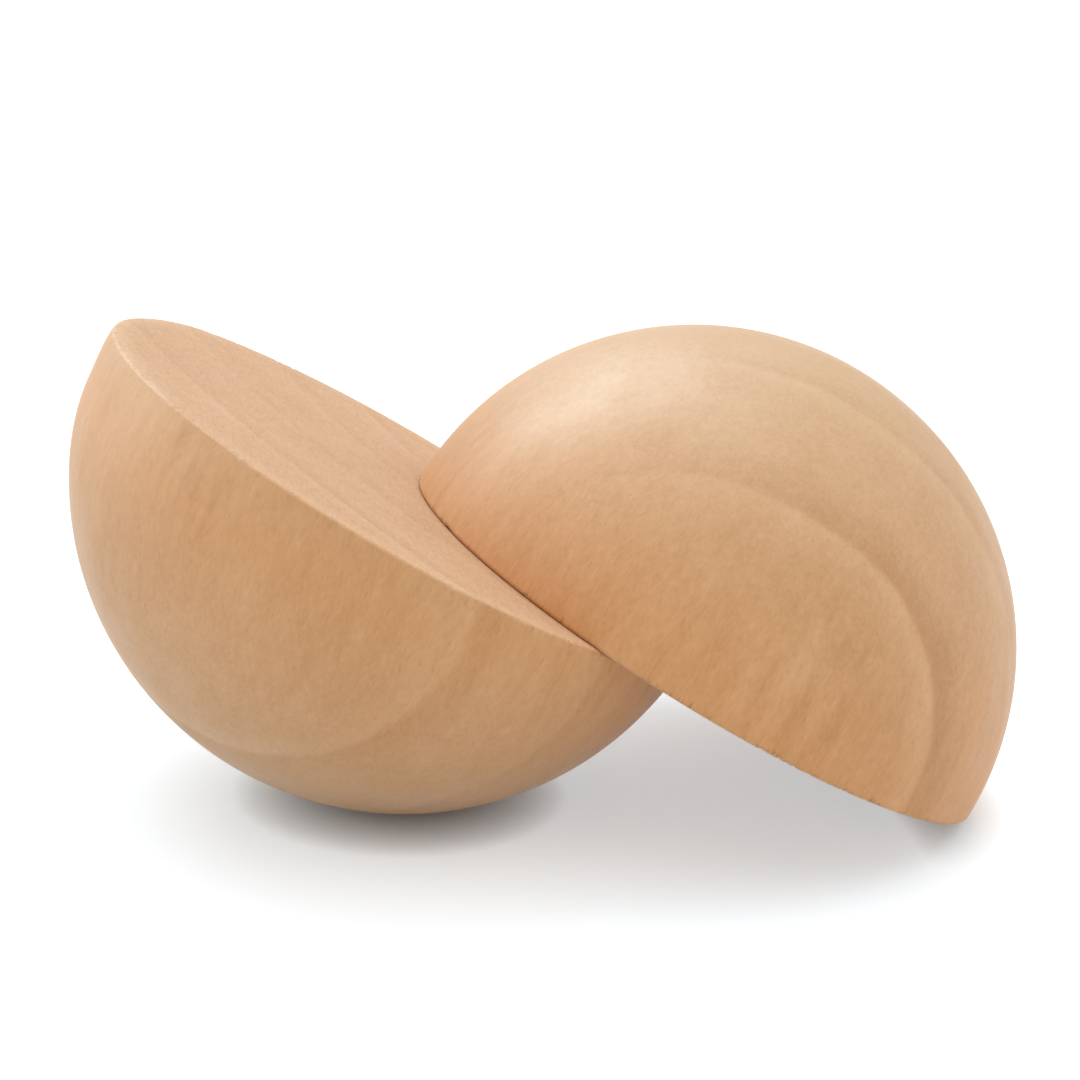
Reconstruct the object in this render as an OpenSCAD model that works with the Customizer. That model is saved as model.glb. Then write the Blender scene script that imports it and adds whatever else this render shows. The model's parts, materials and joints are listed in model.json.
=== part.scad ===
// Wooden ball, turned on a lathe and sawn in two through the middle.
// The halves lie face to face on a bench, the upper one slid down the cut,
// so that the lower half leans on its dome and the upper half on its edge.

/* [Ball] */
// Diameter of the turned ball, before it is split
ball_d = 76.2; // [50:0.1:150]

/* [Cut] */
// Width of wood that the saw turns to dust
saw_kerf = 0.9; // [0.2:0.1:3]
// Width of the sharp edge that is sanded off round each sawn face
edge_break = 0.3; // [0.1:0.1:1.5]

/* [Rest] */
// How far the upper half has slid down the cut
slide = 40; // [20:1:70]

/* [Hidden] */
$fn = 180;

wood = "burlywood";

ball_r = ball_d / 2;
// Height of each sawn face over the middle of its own ball
face_h = saw_kerf / 2;
// Radius of the sharp edge that the saw leaves, and of the flat once it is sanded
sharp_r = sqrt(ball_r * ball_r - face_h * face_h);
flat_r = sharp_r - edge_break;

// Slope of the cut at which the dome and the low edge both touch the bench
reach = slide + flat_r;
tilt = asin(ball_r / norm([reach, face_h])) - atan2(face_h, reach);
// Level distance between the middles of the two balls
span = slide * cos(tilt) - saw_kerf * sin(tilt);

// One half, dome up, with the middle of its ball at the origin
module half_ball() {
    rotate_extrude()
        intersection() {
            circle(r = ball_r);
            // Over the sawn face, and inside the sanded edge, which slopes out at 45 degrees
            polygon([
                [0, face_h],
                [flat_r, face_h],
                [flat_r + ball_r, face_h + ball_r],
                [0, face_h + ball_r]
            ]);
        }
}

// Takes the middle of the lower ball, with the cut level, to its leaning place on the bench
module lean() {
    translate([-span / 2, 0, ball_r])
        rotate([0, tilt, 0])
            children();
}

module lower_half() {
    color(wood)
        lean()
            mirror([0, 0, 1])
                half_ball();
}

module upper_half() {
    color(wood)
        lean()
            translate([slide, 0, -saw_kerf])
                half_ball();
}

lower_half();
upper_half();
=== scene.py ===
import json
import math

import bpy
from mathutils import Matrix, Vector


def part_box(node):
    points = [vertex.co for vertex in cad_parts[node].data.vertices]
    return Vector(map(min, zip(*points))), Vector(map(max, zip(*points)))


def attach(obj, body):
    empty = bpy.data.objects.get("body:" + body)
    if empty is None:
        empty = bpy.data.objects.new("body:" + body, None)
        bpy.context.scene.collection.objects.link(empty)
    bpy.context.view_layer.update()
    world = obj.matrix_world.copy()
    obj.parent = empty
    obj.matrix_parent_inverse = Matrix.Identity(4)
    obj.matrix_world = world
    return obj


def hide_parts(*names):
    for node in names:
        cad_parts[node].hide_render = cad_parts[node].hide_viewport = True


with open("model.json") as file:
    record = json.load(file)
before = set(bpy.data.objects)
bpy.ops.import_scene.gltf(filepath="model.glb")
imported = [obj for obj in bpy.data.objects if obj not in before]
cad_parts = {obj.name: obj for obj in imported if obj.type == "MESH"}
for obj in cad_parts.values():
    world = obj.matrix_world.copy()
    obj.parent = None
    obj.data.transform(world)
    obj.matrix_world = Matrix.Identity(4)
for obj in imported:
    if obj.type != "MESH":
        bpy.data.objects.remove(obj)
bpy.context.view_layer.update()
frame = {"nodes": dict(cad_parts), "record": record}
print("frame loaded:", sorted(frame["nodes"]))

mm = 0.001  # sizes below are in millimetres, Blender works in metres


def linear(hexColour):
    # sRGB hex to the linear values that shaders want
    parts = [int(hexColour[i:i + 2], 16) / 255 for i in (1, 3, 5)]
    return [p / 12.92 if p <= 0.04045 else ((p + 0.055) / 1.055) ** 2.4 for p in parts] + [1.0]


def addNode(tree, kind, inputs=None, **settings):
    # one node: settings are its properties, inputs are links or plain values
    node = tree.nodes.new(kind)
    for name, value in settings.items():
        setattr(node, name, value)
    for socket, value in (inputs or {}).items():
        if isinstance(value, bpy.types.NodeSocket):
            tree.links.new(value, node.inputs[socket])
        else:
            node.inputs[socket].default_value = value
    return node


def fillRamp(node, stops):
    # stops: (place, colour) pairs in order
    ramp = node.color_ramp
    while len(ramp.elements) < len(stops):
        ramp.elements.new(0.5)
    for element, (place, colour) in zip(ramp.elements, stops):
        element.position = place
        element.color = colour


def direction(azimuth, elevation):
    # from the object outwards, in degrees; azimuth 0 is the front
    a, e = math.radians(azimuth), math.radians(elevation)
    return Vector((math.sin(a) * math.cos(e), -math.cos(a) * math.cos(e), math.sin(e)))


# Ball and cut
ball = {
    "diameter": 76.2,
    "sawKerf": 0.9,
    "edgeRound": 0.5,       # sanded edge between dome and sawn face
    "around": 720,          # segments round the axis
    "faceRows": 28,
    "edgeRows": 6,
    "domeRows": 80,
    "domeCrowding": 1.5,    # above 1, the dome's rows crowd towards the edge
    "mergeGap": 0.001,
    "tearDepth": 0.16,      # fibres pulled out along the edge by the saw
    "tearLength": 1.5,
    "tearShortest": 0.25,   # share of that length
    "tearWidth": 0.55,
    "tearNoise": {          # fineness against the width, noise levels where it starts and is full
        "each": (1.0, 0.54, 0.68),
        "gather": (0.06, 0.42, 0.60),
        "run": (0.35, 0.30, 0.70),
    },
    "uneven": 0.06,         # hand sanding leaves the dome a little off round
    "unevenWidth": 16.0,
    "wornCorner": (-0.68, -0.99),  # cosines round the axis where the wear starts and is full
    "sawnBelow": -0.6,      # what looks down more than this is the sawn face
}

radius = ball["diameter"] / 2 * mm
faceHeight = ball["sawKerf"] / 2 * mm

# The frame says where each half lies: the domes touch the sides of the nodes' boxes
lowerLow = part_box("lower_half")[0]
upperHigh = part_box("upper_half")[1]
cutNormal = Vector(frame["record"]["mounts"][0]["axis"]).normalized()
cutTilt = math.atan2(cutNormal.x, cutNormal.z)
lowerCentre = Vector((lowerLow.x + radius, 0, lowerLow.z + radius))
upperCentre = Vector((upperHigh.x - radius, 0, upperHigh.z - radius))
lean = Matrix.Rotation(cutTilt, 4, "Y")
print("cut tilts by", round(math.degrees(cutTilt), 2), "degrees")


def halfBallTree():
    # half a ball in its own frame: ball's middle at the origin, sawn face down
    tree = bpy.data.node_groups.new("turnedHalfBall", "GeometryNodeTree")
    sockets = {}
    for name, kind in (
        ("Ball radius", "Float"), ("Face height", "Float"), ("Edge round", "Float"),
        ("Around", "Int"), ("Rows", "Int"), ("Face share", "Float"), ("Edge share", "Float"),
        ("Tear depth", "Float"), ("Tear length", "Float"), ("Tear width", "Float"),
        ("Uneven", "Float"), ("Uneven width", "Float"), ("Seed", "Float"),
        ("Wear depth", "Float"), ("Wear on dome", "Float"), ("Wear on face", "Float"),
        ("Worn round", "Float"), ("Worn round reach", "Float"),
        ("Dome wood", "Material"), ("Face wood", "Material"),
    ):
        socket = tree.interface.new_socket(name, in_out="INPUT", socket_type="NodeSocket" + kind)
        sockets[name] = socket.identifier
    tree.interface.new_socket("Mesh", in_out="OUTPUT", socket_type="NodeSocketGeometry")
    given = addNode(tree, "NodeGroupInput").outputs
    quarterTurn = math.pi / 2

    # middle of the rounded edge, and its angle up from the level
    edgeZ = addNode(tree, "ShaderNodeMath", {
        0: given["Face height"], 1: given["Edge round"]}, operation="ADD").outputs[0]
    inner = addNode(tree, "ShaderNodeMath", {
        0: given["Ball radius"], 1: given["Edge round"]}, operation="SUBTRACT").outputs[0]
    edgeRise = addNode(tree, "ShaderNodeMath", {0: edgeZ, 1: inner}, operation="DIVIDE").outputs[0]
    edgeAngle = addNode(tree, "ShaderNodeMath", {0: edgeRise}, operation="ARCSINE").outputs[0]
    edgeCos = addNode(tree, "ShaderNodeMath", {0: edgeAngle}, operation="COSINE").outputs[0]
    edgeSin = addNode(tree, "ShaderNodeMath", {0: edgeAngle}, operation="SINE").outputs[0]
    edgeX = addNode(tree, "ShaderNodeMath", {0: inner, 1: edgeCos}, operation="MULTIPLY").outputs[0]

    # a flat grid: across it goes round the axis, up it runs along the profile
    grid = addNode(tree, "GeometryNodeMeshGrid", {
        "Size X": 1.0, "Size Y": 1.0,
        "Vertices X": given["Around"], "Vertices Y": given["Rows"]}).outputs[0]
    gridPlace = addNode(tree, "GeometryNodeInputPosition").outputs[0]
    spot = addNode(tree, "ShaderNodeSeparateXYZ", {0: gridPlace}).outputs
    turn = addNode(tree, "ShaderNodeMapRange", {
        "Value": spot[0], "From Min": -0.5, "From Max": 0.5, "To Max": 2 * math.pi}).outputs[0]
    along = addNode(tree, "ShaderNodeMath", {0: spot[1], 1: 0.5}, operation="ADD").outputs[0]
    onFace = addNode(tree, "ShaderNodeMapRange", {
        "Value": along, "From Max": given["Face share"]}).outputs[0]
    edgeTurn = addNode(tree, "ShaderNodeMapRange", {
        "Value": along, "From Min": given["Face share"], "From Max": given["Edge share"],
        "To Min": -quarterTurn, "To Max": edgeAngle}).outputs[0]
    onDome = addNode(tree, "ShaderNodeMapRange", {
        "Value": along, "From Min": given["Edge share"]}).outputs[0]

    # rows crowd towards the edge, where the fine shapes are
    faceLeft = addNode(tree, "ShaderNodeMath", {0: 2.0, 1: onFace}, operation="SUBTRACT").outputs[0]
    crowdFace = addNode(tree, "ShaderNodeMath", {
        0: faceLeft, 1: onFace}, operation="MULTIPLY").outputs[0]
    crowdDome = addNode(tree, "ShaderNodeMath", {
        0: onDome, 1: ball["domeCrowding"]}, operation="POWER").outputs[0]
    domeTurn = addNode(tree, "ShaderNodeMapRange", {
        "Value": crowdDome, "To Min": edgeAngle, "To Max": quarterTurn}).outputs[0]

    # radius and height along the profile: flat, then rounded edge, then dome
    faceOut = addNode(tree, "ShaderNodeMath", {
        0: edgeX, 1: crowdFace}, operation="MULTIPLY").outputs[0]
    profile = []
    for wave, length, edgeStart, domeStart in (
        ("COSINE", faceOut, 0.0, edgeCos), ("SINE", given["Face height"], -1.0, edgeSin),
    ):
        for size, angle, start in (
            (given["Edge round"], edgeTurn, edgeStart), (given["Ball radius"], domeTurn, domeStart),
        ):
            swing = addNode(tree, "ShaderNodeMath", {0: angle}, operation=wave).outputs[0]
            gain = addNode(tree, "ShaderNodeMath", {0: swing, 1: start}, operation="SUBTRACT").outputs[0]
            length = addNode(tree, "ShaderNodeMath", {
                0: gain, 1: size, 2: length}, operation="MULTIPLY_ADD").outputs[0]
        profile.append(length)
    out, up = profile
    around = addNode(tree, "ShaderNodeCombineXYZ", {
        0: addNode(tree, "ShaderNodeMath", {0: turn}, operation="COSINE").outputs[0],
        1: addNode(tree, "ShaderNodeMath", {0: turn}, operation="SINE").outputs[0]}).outputs[0]
    lathe = addNode(tree, "ShaderNodeVectorMath", {
        0: addNode(tree, "ShaderNodeVectorMath", {0: around, "Scale": out}, operation="SCALE").outputs[0],
        1: addNode(tree, "ShaderNodeCombineXYZ", {2: up}).outputs[0]}, operation="ADD").outputs[0]
    turned = addNode(tree, "GeometryNodeSetPosition", {"Geometry": grid, "Position": lathe}).outputs[0]
    turned = addNode(tree, "GeometryNodeMergeByDistance", {
        "Geometry": turned, "Distance": ball["mergeGap"] * mm}).outputs[0]

    # what the saw and the sandpaper did, measured on the turned shape
    place = addNode(tree, "GeometryNodeInputPosition").outputs[0]
    normal = addNode(tree, "GeometryNodeInputNormal").outputs[0]
    split = addNode(tree, "ShaderNodeSeparateXYZ", {0: place}).outputs
    flat = addNode(tree, "ShaderNodeCombineXYZ", {0: split[0], 1: split[1]}).outputs[0]
    reach = addNode(tree, "ShaderNodeVectorMath", {0: flat}, operation="LENGTH").outputs["Value"]
    above = addNode(tree, "ShaderNodeMath", {
        0: split[2], 1: given["Face height"]}, operation="SUBTRACT").outputs[0]
    inside = addNode(tree, "ShaderNodeMath", {0: edgeX, 1: reach}, operation="SUBTRACT").outputs[0]
    fromEdge = addNode(tree, "ShaderNodeMath", {
        0: addNode(tree, "ShaderNodeMath", {0: above, 1: 0.0}, operation="MAXIMUM").outputs[0],
        1: addNode(tree, "ShaderNodeMath", {0: inside, 1: 0.0}, operation="MAXIMUM").outputs[0]},
        operation="ADD").outputs[0]
    ring = addNode(tree, "ShaderNodeVectorMath", {0: flat}, operation="NORMALIZE").outputs[0]

    # tears: each one, where they gather, and how far each one runs from the edge
    rim = addNode(tree, "ShaderNodeVectorMath", {
        0: ring, "Scale": given["Ball radius"]}, operation="SCALE").outputs[0]
    fine = addNode(tree, "ShaderNodeMath", {0: 1.0, 1: given["Tear width"]}, operation="DIVIDE").outputs[0]
    tear = {}
    for key, (fineness, low, high) in ball["tearNoise"].items():
        scale = addNode(tree, "ShaderNodeMath", {0: fine, 1: fineness}, operation="MULTIPLY").outputs[0]
        pick = addNode(tree, "ShaderNodeTexNoise", {
            "Vector": rim, "W": given["Seed"], "Detail": 1.0, "Scale": scale},
            noise_dimensions="4D").outputs["Fac"]
        least, curve = (ball["tearShortest"], "LINEAR") if key == "run" else (0.0, "SMOOTHSTEP")
        tear[key] = addNode(tree, "ShaderNodeMapRange", {
            "Value": pick, "From Min": low, "From Max": high, "To Min": least},
            interpolation_type=curve).outputs[0]
    tearEnd = addNode(tree, "ShaderNodeMath", {
        0: tear["run"], 1: given["Tear length"]}, operation="MULTIPLY").outputs[0]
    fades = addNode(tree, "ShaderNodeMapRange", {
        "Value": fromEdge, "From Max": tearEnd, "To Min": 1.0, "To Max": 0.0},
        interpolation_type="SMOOTHSTEP").outputs[0]
    torn = tear["each"]
    for share in (tear["gather"], fades, given["Tear depth"]):
        torn = addNode(tree, "ShaderNodeMath", {0: torn, 1: share}, operation="MULTIPLY").outputs[0]

    # slow waves of hand sanding, added to the tears
    slow = addNode(tree, "ShaderNodeMath", {0: 1.0, 1: given["Uneven width"]}, operation="DIVIDE").outputs[0]
    waves = addNode(tree, "ShaderNodeTexNoise", {
        "Vector": place, "W": given["Seed"], "Detail": 2.0, "Scale": slow},
        noise_dimensions="4D").outputs["Fac"]
    depth = addNode(tree, "ShaderNodeMath", {
        0: waves, 1: given["Uneven"], 2: torn}, operation="MULTIPLY_ADD").outputs[0]
    inwards = addNode(tree, "ShaderNodeMath", {0: depth, 1: -1.0}, operation="MULTIPLY").outputs[0]

    # wear of one corner, at the end the cut rises to: rubbed in towards the axis, its edge rounded
    wearFrom, wearFull = ball["wornCorner"]
    corner = addNode(tree, "ShaderNodeMapRange", {
        "Value": addNode(tree, "ShaderNodeSeparateXYZ", {0: ring}).outputs[0],
        "From Min": wearFrom, "From Max": wearFull}, interpolation_type="SMOOTHSTEP").outputs[0]
    near = {}
    for key, distance, limit, curve in (
        ("face", inside, "Wear on face", "LINEAR"), ("dome", above, "Wear on dome", "SMOOTHSTEP"),
        ("edge", fromEdge, "Worn round reach", "LINEAR"),
    ):
        near[key] = addNode(tree, "ShaderNodeMapRange", {
            "Value": distance, "From Max": given[limit], "To Min": 1.0, "To Max": 0.0},
            interpolation_type=curve).outputs[0]
        if curve == "LINEAR":  # squared, so that it is steep at the edge and runs out gently
            near[key] = addNode(tree, "ShaderNodeMath", {
                0: near[key], 1: 2.0}, operation="POWER").outputs[0]
    rubbed = corner
    for share in (near["face"], near["dome"], given["Wear depth"], -1.0):
        rubbed = addNode(tree, "ShaderNodeMath", {0: rubbed, 1: share}, operation="MULTIPLY").outputs[0]
    rounded = corner
    for share in (near["edge"], given["Worn round"]):
        rounded = addNode(tree, "ShaderNodeMath", {0: rounded, 1: share}, operation="MULTIPLY").outputs[0]
    slant = addNode(tree, "ShaderNodeVectorMath", {0: (0, 0, 1), 1: ring}, operation="SUBTRACT").outputs[0]
    slant = addNode(tree, "ShaderNodeVectorMath", {0: slant}, operation="NORMALIZE").outputs[0]

    pulled, cut, sanded = (
        addNode(tree, "ShaderNodeVectorMath", {0: way, "Scale": size}, operation="SCALE").outputs[0]
        for way, size in ((ring, rubbed), (slant, rounded), (normal, inwards)))
    rubs = addNode(tree, "ShaderNodeVectorMath", {0: pulled, 1: cut}, operation="ADD").outputs[0]
    move = addNode(tree, "ShaderNodeVectorMath", {0: sanded, 1: rubs}, operation="ADD").outputs[0]
    worn = addNode(tree, "GeometryNodeSetPosition", {"Geometry": turned, "Offset": move}).outputs[0]

    # the sawn face is what looks down
    looksDown = addNode(tree, "FunctionNodeCompare", {
        "A": addNode(tree, "ShaderNodeSeparateXYZ", {0: normal}).outputs[2], "B": ball["sawnBelow"]},
        data_type="FLOAT", operation="LESS_THAN").outputs[0]
    smooth = addNode(tree, "GeometryNodeSetShadeSmooth", {"Geometry": worn}).outputs[0]
    real = addNode(tree, "GeometryNodeRealizeInstances", {"Geometry": smooth}).outputs[0]
    dressed = addNode(tree, "GeometryNodeSetMaterial", {
        "Geometry": real, "Material": given["Dome wood"]}).outputs[0]
    dressed = addNode(tree, "GeometryNodeSetMaterial", {
        "Geometry": dressed, "Selection": looksDown, "Material": given["Face wood"]}).outputs[0]
    addNode(tree, "NodeGroupOutput", {0: dressed})
    return tree, sockets


# Wood: pale close-grained hardwood such as birch, turned, sawn across and sanded, with no varnish
wood = {
    "ior": 1.53,
    "rough": ((0.44, 0.56), (0.62, 0.74)),  # smoothest and roughest, on the dome and on the sawn face
    "polishPatch": (6.0, 20.0, 2.0),        # where it is smoother: width, length, detail
    "polishLevels": (0.30, 0.70),           # noise levels where it is smoothest and roughest
    "bump": (0.15, 0.35),                   # on the dome and on the sawn face
    "bumpDepth": 0.05,
    "fibreHeight": 0.5,                     # against a pore's depth
    "grainShift": (11.0, 5.0),              # picks a part of the noise
    "pithAway": 80.0,                       # middle of the tree, behind the ball
    "layerDepth": (1.0, 0.6),               # strength of the layers on the dome and on the sawn face
    "layerVary": 0.3,                       # how far that changes from patch to patch
    "layerPatch": (16.0, 30.0, 1.0),
    "layerLevels": (0.35, 0.65),
    "layerFaint": 0.10,                     # share of the strength where layers fade
    "layerWarp": 1.0,                       # in and out, at most
    "warpPatch": (20.0, 60.0, 2.0),
    "darkBand": 3.6,                        # each layer darkens slowly, ends in a thin line
    "paleBand": 2.8,                        # and starts again pale
    "bandGap": 0.1,                         # at least, between one layer's end and the next band
    "layerTones": (-0.15, -0.24, 0.18),     # in the dark band, at the line, after the line
    "middleTone": 0.5,
    "sideTones": ("#BB7E42", "#C88C50", "#D4965E", "#DBA069", "#E1AC7A"),  # dark to pale
    "endTones": ("#AE835A", "#BB9067", "#C69D72", "#CEA87F", "#D6B28E"),
    "sawnTones": ("#AF7E5B", "#BC8C66", "#C79970", "#D0A37C", "#DAB18C"),
    "sandedAndHighlitRim": (4.0, 0.22),               # the sawn face is paler along its edge, partly from sanding and partly a painted highlight on the edge: reach, strength
    "sawMarks": (0.35, 1.1, 0.50),          # scratches of the blade: width, length, strength
    "pore": "#94602F",
    "pores": ((0.40, 1.9, 0.20), (0.55, 1.9, 0.60)),  # dome and sawn face: spacing, length, strength
    "poreWidth": (0.12, 0.32),              # core and rim, as shares of the spacing
    "poreSkip": 0.2,                        # share of the pores that stay shut
    "tickLength": (0.36, 1.2),              # dark torn fibres on the sawn edge, shortest and longest
    "tickShift": (3.0, 8.0),
    "tickNoise": {                          # width, length, noise levels where it starts and is full
        "each": (0.40, 4.0, 0.54, 0.66),
        "gather": (6.0, 20.0, 0.40, 0.54),
        "run": (1.3, 20.0, 0.30, 0.70),
    },
}
# patterns that follow the fibres: width, length, detail, strength on the dome and on the sawn face;
# real fibres, pores and saw marks are finer, and are drawn this coarse so that they show
patterns = {
    "blotch": (13.0, 20.0, 2.0, 0.44, 0.30),
    "bar": (1.9, 14.0, 1.0, 0.44, 0.10),
    "mottle": (0.9, 1.7, 2.0, 0.36, 0.32),
    "fibre": (0.30, 0.9, 2.0, 0.50, 0.46),
}


def layerStops(layers):
    # tone along the way from the back of the ball to its front
    middle, (dark, darkest, pale) = wood["middleTone"], wood["layerTones"]
    stops = [(-radius / mm, middle)]
    for place, strength, line in sorted(layers):
        stops.append((max(stops[-1][0] + wood["bandGap"], place - wood["darkBand"]), middle))
        stops.append((place - wood["darkBand"] / 2, middle + dark * strength))
        stops.append((place - line / 2, middle + darkest * strength))
        stops.append((place + line / 2, middle + pale * strength))
        stops.append((place + wood["paleBand"], middle))
    return [((place / (radius / mm) + 1) / 2, (tone, tone, tone, 1)) for place, tone in stops]


def woodMaterial(name, half, centre, sawn):
    # birch, turned and fine sanded: satin, warm, with soft layers and fine short pores;
    # where it is sawn across the grain the same pores show as dots, and it is duller
    material = bpy.data.materials.new(name)
    material.use_nodes = True
    tree = material.node_tree
    tree.nodes.clear()
    grain = (lean @ Matrix.Rotation(math.radians(half["grainTurn"]), 4, "Z")
             @ Matrix.Rotation(math.radians(half["grainLean"]), 4, "X"))
    objectPlace = addNode(tree, "ShaderNodeTexCoord").outputs["Object"]
    # millimetres from the ball's middle: first with Z along the fibres, then with Z square to the cut
    local, square = (
        addNode(tree, "ShaderNodeMapping", {
            "Vector": objectPlace, "Location": centre, "Rotation": turn.to_euler("XYZ"),
            "Scale": (mm, mm, mm)}, vector_type="TEXTURE").outputs[0]
        for turn in (grain, lean))
    localParts = addNode(tree, "ShaderNodeSeparateXYZ", {0: local}).outputs

    noise = {}
    for key, (width, length, detail) in {
        "warp": wood["warpPatch"], "contrast": wood["layerPatch"], "polish": wood["polishPatch"],
        **{key: pattern[:3] for key, pattern in patterns.items()},
    }.items():
        stretched = addNode(tree, "ShaderNodeVectorMath", {
            0: local, 1: (1 / width, 1 / width, 1 / length), 2: (half["seed"], *wood["grainShift"])},
            operation="MULTIPLY_ADD").outputs[0]
        noise[key] = addNode(tree, "ShaderNodeTexNoise", {
            "Vector": stretched, "Scale": 1.0, "Detail": detail}).outputs["Fac"]

    # growth layers: distance from the middle of the tree, warped
    fromPith = addNode(tree, "ShaderNodeVectorMath", {
        0: local, 1: (0, wood["pithAway"], 0)}, operation="SUBTRACT").outputs[0]
    level = addNode(tree, "ShaderNodeVectorMath", {
        0: fromPith, 1: (1, 1, 0)}, operation="MULTIPLY").outputs[0]
    away = addNode(tree, "ShaderNodeVectorMath", {0: level}, operation="LENGTH").outputs["Value"]
    warp = addNode(tree, "ShaderNodeMath", {0: noise["warp"], 1: 0.5}, operation="SUBTRACT").outputs[0]
    warped = addNode(tree, "ShaderNodeMath", {
        0: warp, 1: wood["layerWarp"] * 2, 2: away}, operation="MULTIPLY_ADD").outputs[0]
    place = addNode(tree, "ShaderNodeMapRange", {
        "Value": warped, "From Min": wood["pithAway"] - radius / mm,
        "From Max": wood["pithAway"] + radius / mm}).outputs[0]
    layers = addNode(tree, "ShaderNodeValToRGB", {"Fac": place})
    fillRamp(layers, layerStops(half["layers"]))
    fadeFrom, fadeFull = half["layersFade"]
    side = addNode(tree, "ShaderNodeMapRange", {
        "Value": localParts[0], "From Min": fadeFrom, "From Max": fadeFull,
        "To Min": wood["layerFaint"], "To Max": 1.0}, interpolation_type="SMOOTHSTEP").outputs[0]
    low, high = wood["layerLevels"]
    contrast = addNode(tree, "ShaderNodeMapRange", {
        "Value": noise["contrast"], "From Min": low, "From Max": high,
        "To Min": wood["layerDepth"][sawn] - wood["layerVary"],
        "To Max": wood["layerDepth"][sawn] + wood["layerVary"]}).outputs[0]
    depth = addNode(tree, "ShaderNodeMath", {0: contrast, 1: side}, operation="MULTIPLY").outputs[0]
    layerTone = addNode(tree, "ShaderNodeMath", {
        0: layers.outputs[0], 1: wood["middleTone"]}, operation="SUBTRACT").outputs[0]
    tone = addNode(tree, "ShaderNodeMath", {
        0: layerTone, 1: depth, 2: wood["middleTone"] if sawn else half["tone"]},
        operation="MULTIPLY_ADD").outputs[0]

    strengths = {key: pattern[3 + sawn] for key, pattern in patterns.items()}
    if not sawn:
        # bars are bold in one place, and run out where the dome cuts across the fibres
        endShare = addNode(tree, "ShaderNodeMath", {
            0: localParts[2], 1: radius / mm}, operation="DIVIDE").outputs[0]
        endShare = addNode(tree, "ShaderNodeMath", {0: endShare}, operation="ABSOLUTE").outputs[0]
        sideShare = addNode(tree, "ShaderNodeMath", {0: 1.0, 1: endShare}, operation="SUBTRACT").outputs[0]
        spot, reach, gain = half["boldBars"]
        fromSpot = addNode(tree, "ShaderNodeVectorMath", {
            0: local, 1: spot}, operation="DISTANCE").outputs["Value"]
        bold = addNode(tree, "ShaderNodeMapRange", {
            "Value": fromSpot, "From Max": reach,
            "To Min": gain * strengths["bar"], "To Max": strengths["bar"]},
            interpolation_type="SMOOTHSTEP").outputs[0]
        strengths["bar"] = addNode(tree, "ShaderNodeMath", {
            0: sideShare, 1: bold}, operation="MULTIPLY").outputs[0]
    additions = [(noise[key], strength) for key, strength in strengths.items()]
    if sawn:
        width, length, strength = wood["sawMarks"]
        marks = addNode(tree, "ShaderNodeVectorMath", {
            0: square, 1: (1 / width, 1 / length, 1 / width)}, operation="MULTIPLY").outputs[0]
        scratches = addNode(tree, "ShaderNodeTexNoise", {
            "Vector": marks, "Scale": 1.0, "Detail": 1.0}).outputs["Fac"]
        additions.append((scratches, strength))
    for pick, strength in additions:
        offset = addNode(tree, "ShaderNodeMath", {0: pick, 1: 0.5}, operation="SUBTRACT").outputs[0]
        tone = addNode(tree, "ShaderNodeMath", {
            0: offset, 1: strength, 2: tone}, operation="MULTIPLY_ADD").outputs[0]
    if sawn:
        # paler towards the edge of the sawn face: sanded wood, and a painted highlight where the rounded
        # edge catches the light
        reach, strength = wood["sandedAndHighlitRim"]
        flat = addNode(tree, "ShaderNodeVectorMath", {
            0: square, 1: (1, 1, 0)}, operation="MULTIPLY").outputs[0]
        out = addNode(tree, "ShaderNodeVectorMath", {0: flat}, operation="LENGTH").outputs["Value"]
        pale = addNode(tree, "ShaderNodeMapRange", {
            "Value": out, "From Min": radius / mm - reach, "From Max": radius / mm, "To Max": strength},
            interpolation_type="SMOOTHSTEP").outputs[0]
        tone = addNode(tree, "ShaderNodeMath", {0: tone, 1: pale}, operation="ADD").outputs[0]

    # the side of the grain is warmer than its end, and the dome goes over from one to the other
    tones = []
    for key in ("sawnTones",) if sawn else ("sideTones", "endTones"):
        ramp = addNode(tree, "ShaderNodeValToRGB", {"Fac": tone})
        last = len(wood[key]) - 1
        fillRamp(ramp, [(i / last, linear(colour)) for i, colour in enumerate(wood[key])])
        tones.append(ramp.outputs[0])
    skin = tones[0]
    if not sawn:
        skin = addNode(tree, "ShaderNodeMix", {
            "Factor": endShare, "A": tones[0], "B": tones[1]}, data_type="RGBA").outputs["Result"]

    # pores: one in each cell, long along the fibres, so a dash on the side and a dot on the end
    spacing, length, strength = wood["pores"][sawn]
    poreCore, poreRim = wood["poreWidth"]
    cells = addNode(tree, "ShaderNodeVectorMath", {
        0: local, 1: (1 / spacing, 1 / spacing, 1 / length)}, operation="MULTIPLY").outputs[0]
    pores = addNode(tree, "ShaderNodeTexVoronoi", {"Vector": cells, "Scale": 1.0}).outputs
    wide = addNode(tree, "ShaderNodeMapRange", {
        "Value": pores["Distance"], "From Min": poreCore, "From Max": poreRim,
        "To Min": 1.0, "To Max": 0.0}, interpolation_type="SMOOTHSTEP").outputs[0]
    dark = addNode(tree, "ShaderNodeMapRange", {
        "Value": addNode(tree, "ShaderNodeSeparateColor", {0: pores["Color"]}).outputs[0],
        "From Min": wood["poreSkip"], "To Max": strength}).outputs[0]
    pore = addNode(tree, "ShaderNodeMath", {0: wide, 1: dark}, operation="MULTIPLY").outputs[0]
    skin = addNode(tree, "ShaderNodeMix", {
        "Factor": pore, "A": skin, "B": linear(wood["pore"])}, data_type="RGBA").outputs["Result"]

    if not sawn:
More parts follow.
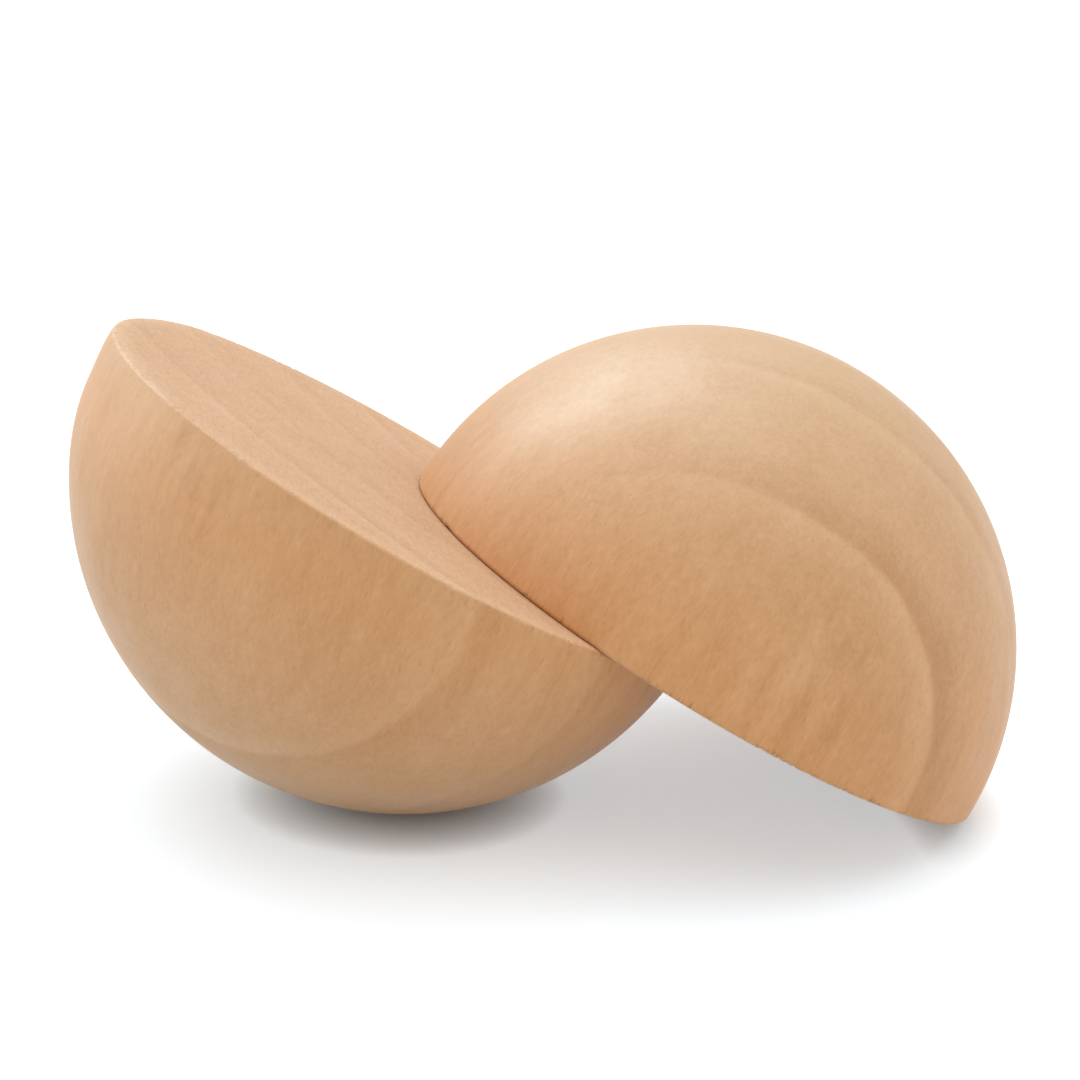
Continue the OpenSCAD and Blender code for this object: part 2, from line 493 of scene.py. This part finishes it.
        # torn fibres: short dark ticks that stand on the sawn edge, in groups, each of its own length
        tick = {}
        for key, (width, length, low, high) in wood["tickNoise"].items():
            stretched = addNode(tree, "ShaderNodeVectorMath", {
                0: square, 1: (1 / width, 1 / width, 1 / length), 2: (half["seed"], *wood["tickShift"])},
                operation="MULTIPLY_ADD").outputs[0]
            pick = addNode(tree, "ShaderNodeTexNoise", {
                "Vector": stretched, "Scale": 1.0, "Detail": 0.0}).outputs["Fac"]
            (least, most), curve = (
                (wood["tickLength"], "LINEAR") if key == "run" else ((0.0, 1.0), "SMOOTHSTEP"))
            tick[key] = addNode(tree, "ShaderNodeMapRange", {
                "Value": pick, "From Min": low, "From Max": high, "To Min": least, "To Max": most},
                interpolation_type=curve).outputs[0]
        squareParts = addNode(tree, "ShaderNodeSeparateXYZ", {0: square}).outputs
        fromCut = addNode(tree, "ShaderNodeMath", {0: squareParts[2]}, operation="ABSOLUTE").outputs[0]
        fromFace = addNode(tree, "ShaderNodeMath", {
            0: fromCut, 1: faceHeight / mm}, operation="SUBTRACT").outputs[0]
        fades = addNode(tree, "ShaderNodeMapRange", {
            "Value": fromFace, "From Max": tick["run"], "To Min": 1.0, "To Max": 0.0},
            interpolation_type="SMOOTHSTEP").outputs[0]
        ticks = tick["each"]
        for share in (tick["gather"], fades, half["ticks"]):
            ticks = addNode(tree, "ShaderNodeMath", {0: ticks, 1: share}, operation="MULTIPLY").outputs[0]
        skin = addNode(tree, "ShaderNodeMix", {
            "Factor": ticks, "A": skin, "B": linear(wood["pore"])}, data_type="RGBA").outputs["Result"]

    # height for the bump: pores sink, fibres stand up a little
    sunk = addNode(tree, "ShaderNodeMath", {0: pore, 1: -1.0}, operation="MULTIPLY").outputs[0]
    height = addNode(tree, "ShaderNodeMath", {
        0: noise["fibre"], 1: wood["fibreHeight"], 2: sunk}, operation="MULTIPLY_ADD").outputs[0]
    bump = addNode(tree, "ShaderNodeBump", {
        "Height": height, "Strength": wood["bump"][sawn], "Distance": wood["bumpDepth"] * mm}).outputs[0]
    low, high = wood["polishLevels"]
    smoothest, roughest = wood["rough"][sawn]
    rough = addNode(tree, "ShaderNodeMapRange", {
        "Value": noise["polish"], "From Min": low, "From Max": high,
        "To Min": smoothest, "To Max": roughest}).outputs[0]
    shader = addNode(tree, "ShaderNodeBsdfPrincipled", {
        "Base Color": skin, "Roughness": rough, "IOR": wood["ior"], "Normal": bump}).outputs[0]
    addNode(tree, "ShaderNodeOutputMaterial", {"Surface": shader})
    return material


# tone: how pale the dome is; ticks: how dark its torn fibres are
# layers: place from the ball's middle towards its front, strength, width of the thin line
# layersFade: where across the grain they are faint and where they are full
# boldBars: middle, reach and gain
lowerHalf = {
    "node": "lower_half", "slot": "lower_wood", "seed": 3.0, "tone": 0.64, "ticks": 0.35,
    "grainTurn": -49.4, "grainLean": 12.6,
    "layers": (
        (25.7, 0.8, 0.6), (12.5, 0.5, 0.8), (-1.5, 0.5, 0.8), (-14.0, 0.6, 0.4), (-26.0, 0.5, 1.0)),
    "layersFade": (-60.0, -50.0),  # off the ball, so they are full all over
    "boldBars": ((6.0, -37.0, 4.0), 9.0, 2.2),
    "wearDepth": 0.70, "wearOnDome": 17.0, "wearOnFace": 4.0,  # its high corner is rubbed
    "wornRound": 0.30, "wornRoundReach": 2.6,
}
upperHalf = {
    "node": "upper_half", "slot": "upper_wood", "seed": 7.0, "tone": 0.50, "ticks": 0.85,
    "grainTurn": -13.7, "grainLean": -3.1,
    "layers": (
        (31.1, 1.2, 0.45), (17.6, 0.6, 0.9), (4.5, 0.4, 1.6),
        (-8.5, 0.6, 0.5), (-21.0, 0.5, 1.0), (-32.0, 0.5, 0.6)),
    "layersFade": (-25.0, -1.0),
    "boldBars": ((8.0, -36.0, 8.0), 12.0, 3.0),
    "wearDepth": 0.0, "wearOnDome": 17.0, "wearOnFace": 4.0,  # not rubbed
    "wornRound": 0.0, "wornRoundReach": 2.6,
}


def makeHalf(name, half, centre, place, tree, sockets):
    dome = woodMaterial("birchTurned." + name, half, centre, False)
    sawn = woodMaterial("birchSawnAcross." + name, half, centre, True)
    rows = ball["faceRows"] + ball["edgeRows"] + ball["domeRows"]
    piece = bpy.data.objects.new(name, bpy.data.meshes.new(name))
    bpy.context.scene.collection.objects.link(piece)
    modifier = piece.modifiers.new("turning", "NODES")
    modifier.node_group = tree
    for key, value in {
        "Ball radius": radius, "Face height": faceHeight, "Edge round": ball["edgeRound"] * mm,
        "Around": ball["around"] + 1, "Rows": rows + 1,
        "Face share": ball["faceRows"] / rows, "Edge share": 1 - ball["domeRows"] / rows,
        "Tear depth": ball["tearDepth"] * mm, "Tear length": ball["tearLength"] * mm,
        "Tear width": ball["tearWidth"] * mm, "Uneven": ball["uneven"] * mm,
        "Uneven width": ball["unevenWidth"] * mm, "Seed": half["seed"],
        "Wear depth": half["wearDepth"] * mm, "Wear on dome": half["wearOnDome"] * mm,
        "Wear on face": half["wearOnFace"] * mm, "Worn round": half["wornRound"] * mm,
        "Worn round reach": half["wornRoundReach"] * mm,
        "Dome wood": dome, "Face wood": sawn,
    }.items():
        modifier[sockets[key]] = value
    graph = bpy.context.evaluated_depsgraph_get()
    mesh = bpy.data.meshes.new_from_object(piece.evaluated_get(graph))
    piece.modifiers.clear()
    mesh.transform(place)
    piece.data = mesh
    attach(piece, "root")
    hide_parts(half["node"])
    print(name, "has", len(mesh.polygons), "faces")


tree, sockets = halfBallTree()
flip = Matrix.Rotation(math.pi, 4, "X")
makeHalf("lowerHalf", lowerHalf, lowerCentre, Matrix.Translation(lowerCentre) @ lean @ flip, tree, sockets)
makeHalf("upperHalf", upperHalf, upperCentre, Matrix.Translation(upperCentre) @ lean, tree, sockets)

# Stage
stage = {
    "floorRadius": 3000.0,
    "floorSides": 96,
    "floorColour": "#E5E8EA",
    "floorLift": 0.48,       # lifts the paper to white for the eye where no shadow falls
    "liftColour": "#F3FAFF",
    "paintedShadowReach": 5.0,     # less lift this close to the wood, which paints a contact shadow on the paper
    "contactSamples": 2,
    "skyColour": "#FFFFFF",
    "ambient": 0.40,
}


def seenRays(tree):
    # 1 for what the eye sees, straight, mirrored or through glass
    rays = addNode(tree, "ShaderNodeLightPath").outputs
    seen = rays["Is Camera Ray"]
    for other in ("Is Glossy Ray", "Is Transmission Ray"):
        seen = addNode(tree, "ShaderNodeMath", {0: seen, 1: rays[other]}, operation="MAXIMUM").outputs[0]
    return seen


floorMesh = bpy.data.meshes.new("floor")
floorRing = []
for step in range(stage["floorSides"]):
    angle = 2 * math.pi * step / stage["floorSides"]
    floorRing.append(Vector((math.cos(angle), math.sin(angle), 0)) * stage["floorRadius"] * mm)
floorMesh.from_pydata(floorRing, [], [list(range(stage["floorSides"]))])
floor = bpy.data.objects.new("floor", floorMesh)
bpy.context.scene.collection.objects.link(floor)

# paper sweep, uncoated: plain matt white with no shine, lifted to white by a glow that the eye sees; ambient
# occlusion dims that glow near the wood, a painted contact shadow
paper = bpy.data.materials.new("paperSweep")
paper.use_nodes = True
paperTree = paper.node_tree
paperTree.nodes.clear()
matt = addNode(paperTree, "ShaderNodeBsdfDiffuse", {"Color": linear(stage["floorColour"])}).outputs[0]
# ambient occlusion dims the glow close to the wood: painted contact shadow under and between the halves
contactShadowFactor = addNode(paperTree, "ShaderNodeAmbientOcclusion", {
    "Distance": stage["paintedShadowReach"] * mm}, samples=stage["contactSamples"]).outputs["AO"]
lift = seenRays(paperTree)
for share in (stage["floorLift"], contactShadowFactor):
    lift = addNode(paperTree, "ShaderNodeMath", {0: lift, 1: share}, operation="MULTIPLY").outputs[0]
glow = addNode(paperTree, "ShaderNodeEmission", {
    "Color": linear(stage["liftColour"]), "Strength": lift}).outputs[0]
both = addNode(paperTree, "ShaderNodeAddShader", {0: matt, 1: glow}).outputs[0]
addNode(paperTree, "ShaderNodeOutputMaterial", {"Surface": both})
floorMesh.materials.append(paper)

world = bpy.data.worlds.new("studio")
bpy.context.scene.world = world
world.use_nodes = True
skyTree = world.node_tree
skyTree.nodes.clear()
skyLevel = addNode(skyTree, "ShaderNodeMapRange", {
    "Value": seenRays(skyTree), "To Min": stage["ambient"], "To Max": 1.0}).outputs[0]
sky = addNode(skyTree, "ShaderNodeBackground", {
    "Color": linear(stage["skyColour"]), "Strength": skyLevel}).outputs[0]
addNode(skyTree, "ShaderNodeOutputWorld", {"Surface": sky})
print("stage set")

# Softboxes: name, azimuth, elevation, strength, sheen, spread in degrees, colour; sheen is light
# that only the gloss of the wood picks up, as from a bright panel set back from the object
sheenColour = "#D3F3FB"
lamps = (
    ("overheadSoftbox", 0.0, 85.0, 1.32, 1.00, 80.0, "#F3FBFF"),
    ("highBackSoftbox", -172.0, 58.0, 0.92, 0.30, 60.0, "#EEFAFF"),
    ("leftBackSoftbox", -153.0, 48.0, 0.0, 2.00, 44.0, "#FFFFFF"),
    ("farLeftSoftbox", -122.0, 16.0, 0.0, 0.85, 50.0, "#FFFFFF"),
    ("leftSoftbox", -86.0, 11.0, 0.41, 1.00, 60.0, "#F3FBFF"),
    ("rightSoftbox", 95.0, 20.0, 0.70, 0.0, 60.0, "#FFFAF4"),
    ("frontSoftbox", -10.0, 8.0, 0.22, 0.0, 60.0, "#FFF2E2"),
)
for name, azimuth, elevation, strength, sheen, spread, colour in lamps:
    for part, energy in (("", strength), (".sheen", sheen)):
        if not energy:
            continue
        lamp = bpy.data.lights.new(name + part, "SUN")
        lamp.energy = energy
        lamp.color = linear(sheenColour if part else colour)[:3]
        lamp.angle = math.radians(spread)
        holder = bpy.data.objects.new(name + part, lamp)
        holder.rotation_euler = direction(azimuth, elevation).to_track_quat("Z", "Y").to_euler()
        holder.visible_diffuse = not part
        bpy.context.scene.collection.objects.link(holder)

# Camera, at the photograph's viewing angle
eye = {
    "azimuth": -9.11,
    "elevation": 15.66,
    "roll": 2.26,
    "distance": 266.7,
    "target": (-1.39, 0.97, 30.65),
    "lens": 75.84,
    "sensor": 36.0,
    "clip": (10.0, 20000.0),
}
turn, roll = math.radians(eye["azimuth"]), math.radians(eye["roll"])
back = direction(eye["azimuth"], eye["elevation"])
level = Vector((math.cos(turn), math.sin(turn), 0))
right = level * math.cos(roll) + back.cross(level) * math.sin(roll)
aim = Matrix((right, back.cross(right), back)).transposed().to_4x4()
cameraData = bpy.data.cameras.new("camera")
cameraData.lens = eye["lens"]
cameraData.sensor_width = eye["sensor"]
cameraData.clip_start, cameraData.clip_end = (distance * mm for distance in eye["clip"])
camera = bpy.data.objects.new("camera", cameraData)
camera.matrix_world = Matrix.Translation((Vector(eye["target"]) + back * eye["distance"]) * mm) @ aim
bpy.context.scene.collection.objects.link(camera)
bpy.context.scene.camera = camera
bpy.context.scene.view_settings.view_transform = "Standard"
print("lamps and camera set")
